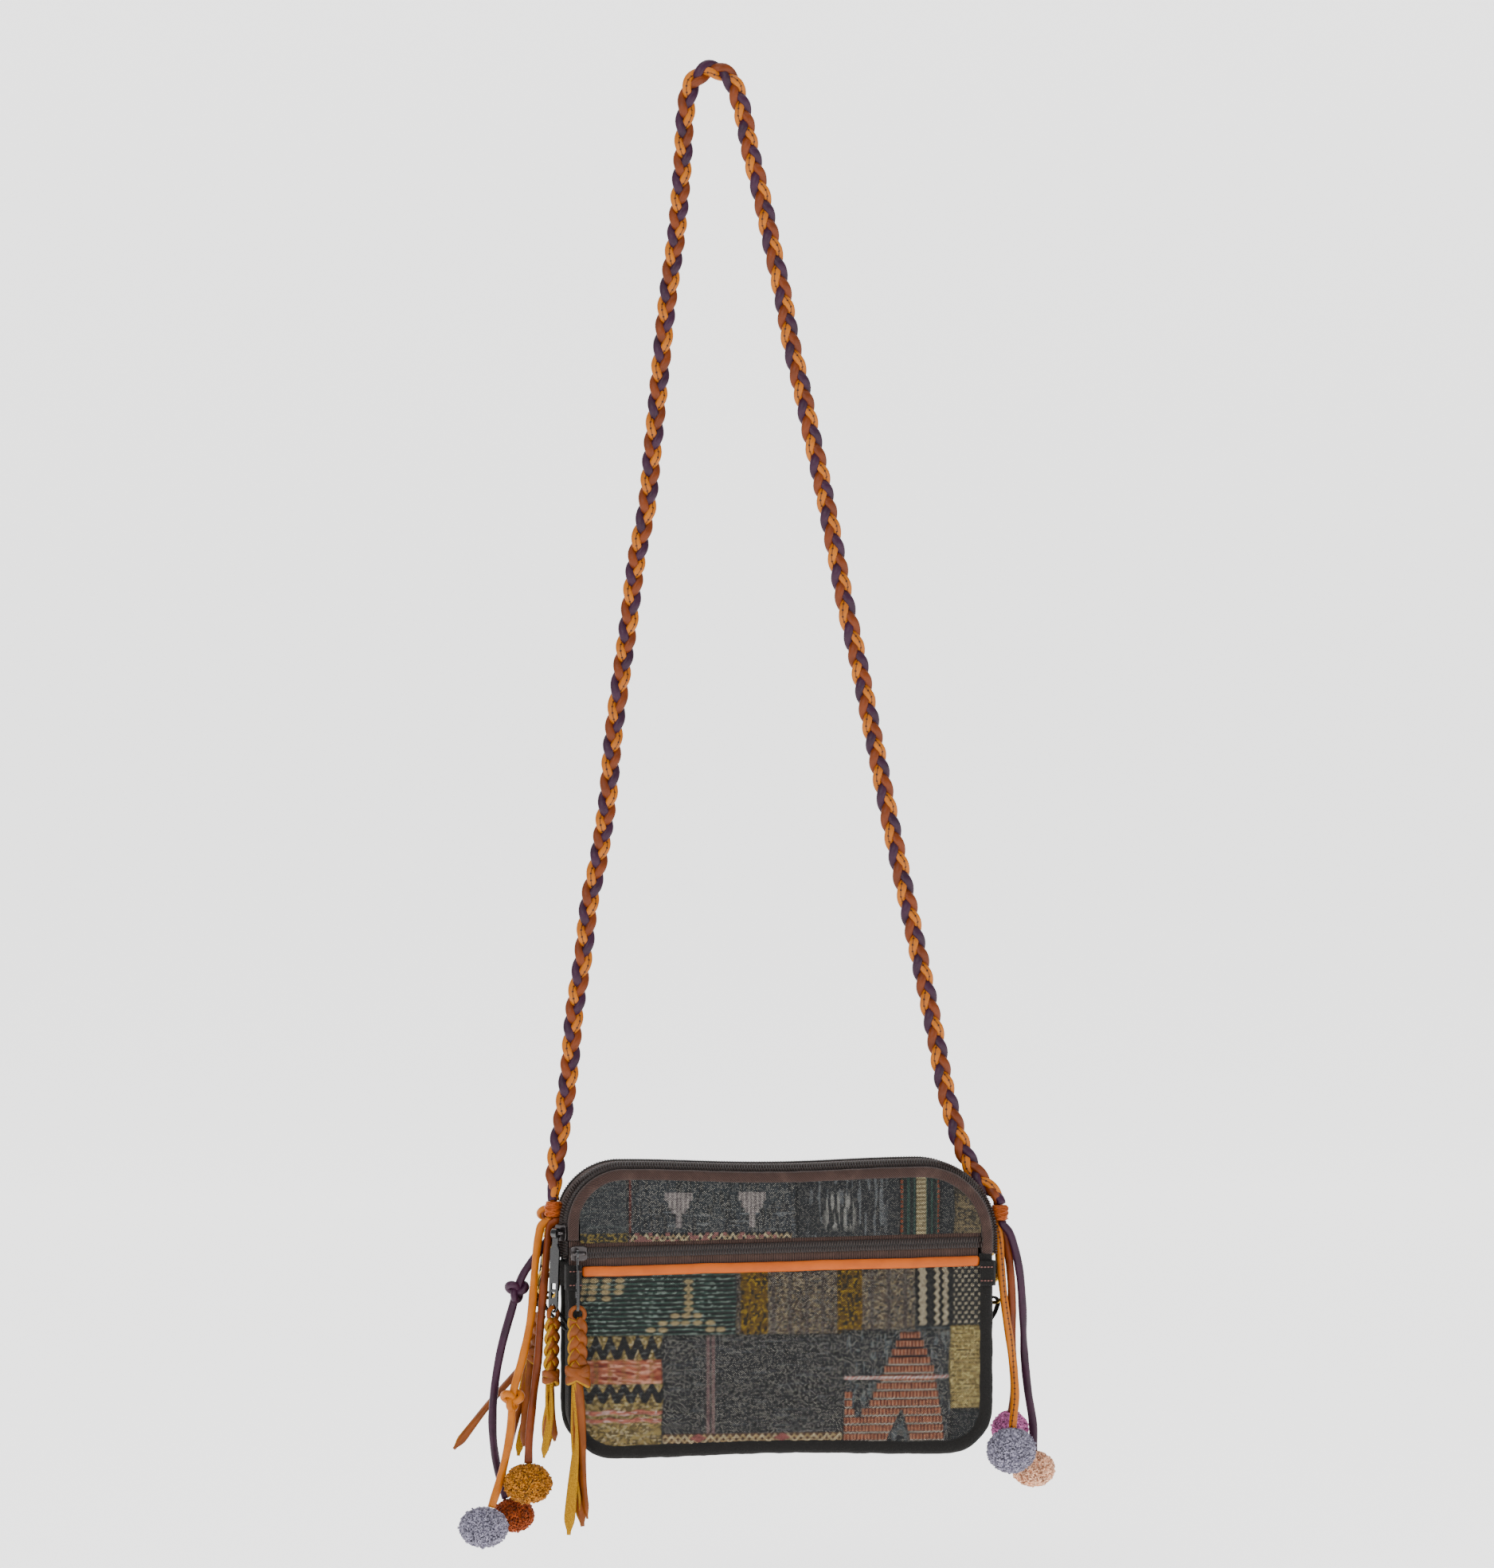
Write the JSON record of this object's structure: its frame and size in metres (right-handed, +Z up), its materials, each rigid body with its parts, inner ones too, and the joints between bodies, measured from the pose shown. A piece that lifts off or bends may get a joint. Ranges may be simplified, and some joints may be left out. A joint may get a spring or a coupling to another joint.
{
  "type": "patchwork crossbody bag with braided strap",
  "caption": "Small zip crossbody bag of patchwork handwoven cloth with felt edges, leather pulls and a braided three-strand strap with pompom tails.",
  "frame": {"origin": "under the middle of the braided strap where it hangs on a peg", "axes": "+X to the right across the front, +Y to the back, +Z up"},
  "size_m": [0.345, 0.0573, 0.8398],
  "materials": {
    "weave": "matte",
    "lining": "matte",
    "twill": "matte",
    "felt": "matte",
    "coil": "satin",
    "trim": "satin",
    "slider_metal": "satin",
    "gloss_tab": "gloss",
    "pull_leather": "satin",
    "brass": "polished",
    "waxed_cord": "satin",
    "strap_leather": "satin",
    "mustard_leather": "satin",
    "rust_leather": "satin",
    "purple_leather": "satin",
    "grey_wool": "matte",
    "mustard_wool": "matte",
    "rust_wool": "matte",
    "pink_wool": "matte",
    "peach_wool": "matte"
  },
  "bodies": {
    "root": {"front_upper_panel": "weave", "front_pocket_panel": "weave", "back_panel": "weave", "pocket_lining_wall": "lining", "compartment_divider": "lining", "front_piping": "twill", "back_piping": "twill", "front_main_zip_tape": "twill", "rear_main_zip_tape": "twill", "top_band_between_zips": "twill", "pocket_zip_upper_tape": "twill", "pocket_zip_lower_tape": "twill", "front_felt_border": "felt", "back_felt_border": "felt", "felt_gusset": "felt", "left_zip_end_patch": "felt", "right_zip_end_patch": "felt", "left_ring_tab": "felt", "right_ring_tab": "felt", "front_main_zip_chain": "coil", "rear_main_zip_chain": "coil", "pocket_zip_chain": "coil", "pocket_leather_trim": "trim", "left_swivel_eye": "brass", "left_strap_binding": "waxed_cord", "left_mustard_tail": "mustard_leather", "left_rust_tail": "rust_leather", "left_purple_tail": "purple_leather", "right_swivel_eye": "brass", "right_strap_binding": "waxed_cord", "right_mustard_tail": "mustard_leather", "right_rust_tail": "rust_leather", "right_purple_tail": "purple_leather", "strap": "strap_leather", "left_mustard_pompom": "grey_wool", "right_mustard_pompom": "grey_wool", "left_rust_pompom": "mustard_wool", "left_purple_pompom": "rust_wool", "right_rust_pompom": "pink_wool", "right_purple_pompom": "peach_wool"},
    "pocket_slider": {"pocket_slider": "slider_metal"},
    "pocket_pull": {"pocket_pull_tab": "gloss_tab", "pocket_leather_pull": "pull_leather"},
    "front_main_slider": {"front_main_slider": "slider_metal"},
    "front_main_pull": {"front_main_pull_tab": "gloss_tab", "front_main_leather_pull": "pull_leather"},
    "rear_main_slider": {"rear_main_slider": "slider_metal"},
    "rear_main_pull": {"rear_main_pull_tab": "gloss_tab", "rear_main_leather_pull": "pull_leather"},
    "left_ring": {"left_ring": "brass"},
    "left_hook": {"left_hook": "brass"},
    "left_hook_lever": {"left_hook_lever": "brass"},
    "right_ring": {"right_ring": "brass"},
    "right_hook": {"right_hook": "brass"},
    "right_hook_lever": {"right_hook_lever": "brass"}
  },
  "joints": [
    {"name": "pocket_zip_slide", "type": "slide", "parent": "root", "child": "pocket_slider", "axis": [0.9999, 0, 0.0166], "range_m": [0, 0.215]},
    {"name": "pocket_pull_swing", "type": "hinge", "parent": "pocket_slider", "child": "pocket_pull", "pos_m": [-0.0783, -0.026, -0.66735], "axis": [-0.9999, 0, -0.0166], "range_deg": [0, 150]},
    {"name": "front_main_zip_corner", "type": "hinge", "parent": "root", "child": "front_main_slider", "pos_m": [-0.051, 0, -0.652], "axis": [0, 1, 0], "range_deg": [0, 85]},
    {"name": "front_main_pull_swing", "type": "hinge", "parent": "front_main_slider", "child": "front_main_pull", "pos_m": [-0.08958, -0.01748, -0.656], "axis": [-0.7071, 0.7071, 0], "range_deg": [0, 100]},
    {"name": "rear_main_zip_corner", "type": "hinge", "parent": "root", "child": "rear_main_slider", "pos_m": [-0.051, 0, -0.652], "axis": [0, 1, 0], "range_deg": [0, 85]},
    {"name": "rear_main_pull_swing", "type": "hinge", "parent": "rear_main_slider", "child": "rear_main_pull", "pos_m": [-0.08958, 0.01748, -0.656], "axis": [0.7071, 0.7071, 0], "range_deg": [0, 100]},
    {"name": "left_ring_tilt", "type": "hinge", "parent": "root", "child": "left_ring", "pos_m": [-0.0915, 0.0065, -0.6945], "axis": [0.6691, -0.7431, 0], "range_deg": [-4, 4]},
    {"name": "left_hook_swivel", "type": "hinge", "parent": "root", "child": "left_hook", "pos_m": [-0.0915, 0.0065, -0.6595], "axis": [0, 0, 1], "range_deg": [-25, 25]},
    {"name": "left_lever_open", "type": "hinge", "parent": "left_hook", "child": "left_hook_lever", "pos_m": [-0.09388, 0.00436, -0.6683], "axis": [0.6691, -0.7431, 0], "range_deg": [0, 20], "stiffness_Nm_per_rad": 0.004},
    {"name": "right_ring_tilt", "type": "hinge", "parent": "root", "child": "right_ring", "pos_m": [0.1655, 0.0045, -0.7], "axis": [0.6691, -0.7431, 0], "range_deg": [-4, 4]},
    {"name": "right_hook_swivel", "type": "hinge", "parent": "root", "child": "right_hook", "pos_m": [0.1655, 0.0045, -0.665], "axis": [0, 0, 1], "range_deg": [-25, 25]},
    {"name": "right_lever_open", "type": "hinge", "parent": "right_hook", "child": "right_hook_lever", "pos_m": [0.16312, 0.00236, -0.6738], "axis": [0.6691, -0.7431, 0], "range_deg": [0, 20], "stiffness_Nm_per_rad": 0.004}
  ]
}
